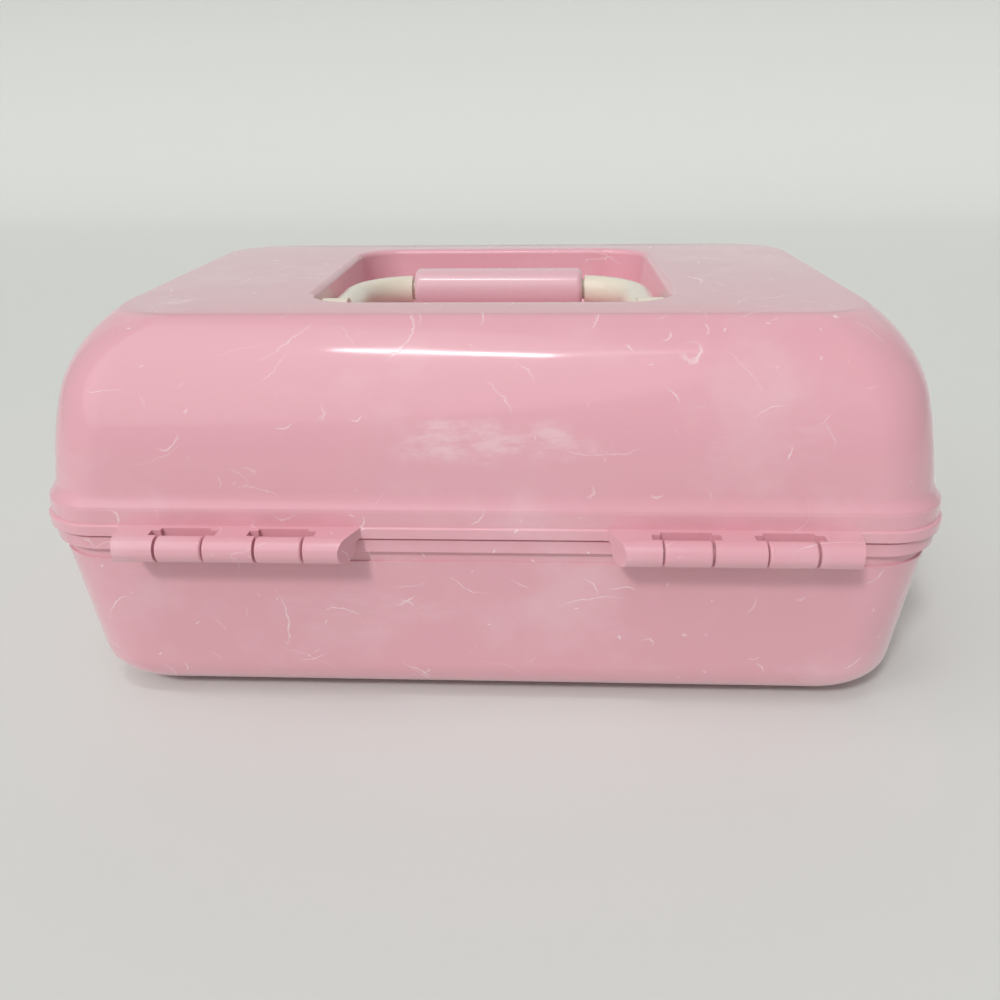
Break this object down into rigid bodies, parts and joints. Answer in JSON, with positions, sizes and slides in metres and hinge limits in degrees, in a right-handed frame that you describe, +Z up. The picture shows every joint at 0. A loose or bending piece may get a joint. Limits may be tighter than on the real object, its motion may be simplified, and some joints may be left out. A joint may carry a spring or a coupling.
{
  "type": "makeup storage case with handle",
  "caption": "Trunk-shaped plastic make-up case: rear-hinged domed lid, folding handle in a top recess, front latches, lid mirror and cantilever trays that rise as it opens.",
  "frame": {"origin": "under the middle of the closed case, in the plane of the foot ring's underside", "axes": "+X along the case, +Y towards the hinges at the rear, +Z up; the latches are at the front, -Y"},
  "size_m": [0.33, 0.2639, 0.148],
  "materials": {
    "shell_plastic": "glossy injection-moulded plastic, pale dusty pink",
    "grip_plastic": "glossy moulded plastic, light pink",
    "cream_plastic": "satin moulded plastic, cream",
    "tray_plastic": "matt moulded plastic, warm white",
    "divider_plastic": "matt moulded plastic, light pink",
    "steel": "zinc-plated steel",
    "mirror_glass": "polished mirror"
  },
  "bodies": {
    "base": {"lower_shell": "shell_plastic", "front_arm_studs": "steel"},
    "lid": {"upper_shell": "shell_plastic", "rear_arm_left": "steel", "rear_arm_right": "steel", "rear_arm_screws": "steel", "mirror_frame": "cream_plastic", "mirror_glass": "mirror_glass", "mirror_screws": "steel"},
    "handle": {"handle_bail": "cream_plastic", "grip_upper_half": "grip_plastic", "grip_lower_half": "grip_plastic"},
    "latch_left_body": {"latch_left": "cream_plastic"},
    "latch_right_body": {"latch_right": "cream_plastic"},
    "lower_tray_body": {"lower_tray": "tray_plastic", "lower_tray_dividers": "divider_plastic", "lower_tray_rivets": "steel"},
    "upper_tray_body": {"upper_tray": "tray_plastic", "upper_tray_dividers": "divider_plastic", "upper_tray_rivets": "steel"},
    "front_arm_left_body": {"front_arm_left": "steel"},
    "front_arm_right_body": {"front_arm_right": "steel"}
  },
  "joints": [
    {"name": "lid_hinge", "type": "hinge", "parent": "base", "child": "lid", "pos_m": [0, 0.1265, 0.0749], "axis": [-1, 0, 0], "range_deg": [0, 100]},
    {"name": "lower_tray_swing", "type": "hinge", "parent": "lid", "child": "lower_tray_body", "pos_m": [0, 0.063, 0.058], "axis": [-1, 0, 0], "range_deg": [-100, 0]},
    {"name": "upper_tray_swing", "type": "hinge", "parent": "lid", "child": "upper_tray_body", "pos_m": [0, 0.029, 0.078], "axis": [-1, 0, 0], "range_deg": [-100, 0]},
    {"name": "front_arm_left_swing", "type": "hinge", "parent": "base", "child": "front_arm_left_body", "pos_m": [0.1471, 0.023, 0.0664], "axis": [-1, 0, 0], "range_deg": [0, 100]},
    {"name": "front_arm_right_swing", "type": "hinge", "parent": "base", "child": "front_arm_right_body", "pos_m": [-0.1471, 0.023, 0.0664], "axis": [-1, 0, 0], "range_deg": [0, 100]},
    {"name": "handle_swing", "type": "hinge", "parent": "lid", "child": "handle", "pos_m": [0, 0.042, 0.1375], "axis": [-1, 0, 0], "range_deg": [0, 125]},
    {"name": "latch_left_swing", "type": "hinge", "parent": "lid", "child": "latch_left_body", "pos_m": [0.092, -0.1222, 0.0879], "axis": [-1, 0, 0], "range_deg": [-12, 95]},
    {"name": "latch_right_swing", "type": "hinge", "parent": "lid", "child": "latch_right_body", "pos_m": [-0.092, -0.1222, 0.0879], "axis": [-1, 0, 0], "range_deg": [-12, 95]}
  ],
  "couplings": [
    {"joint": "lower_tray_swing", "follows": "lid_hinge", "ratio": -1},
    {"joint": "upper_tray_swing", "follows": "lid_hinge", "ratio": -1},
    {"joint": "front_arm_left_swing", "follows": "lid_hinge", "ratio": 1},
    {"joint": "front_arm_right_swing", "follows": "lid_hinge", "ratio": 1}
  ]
}
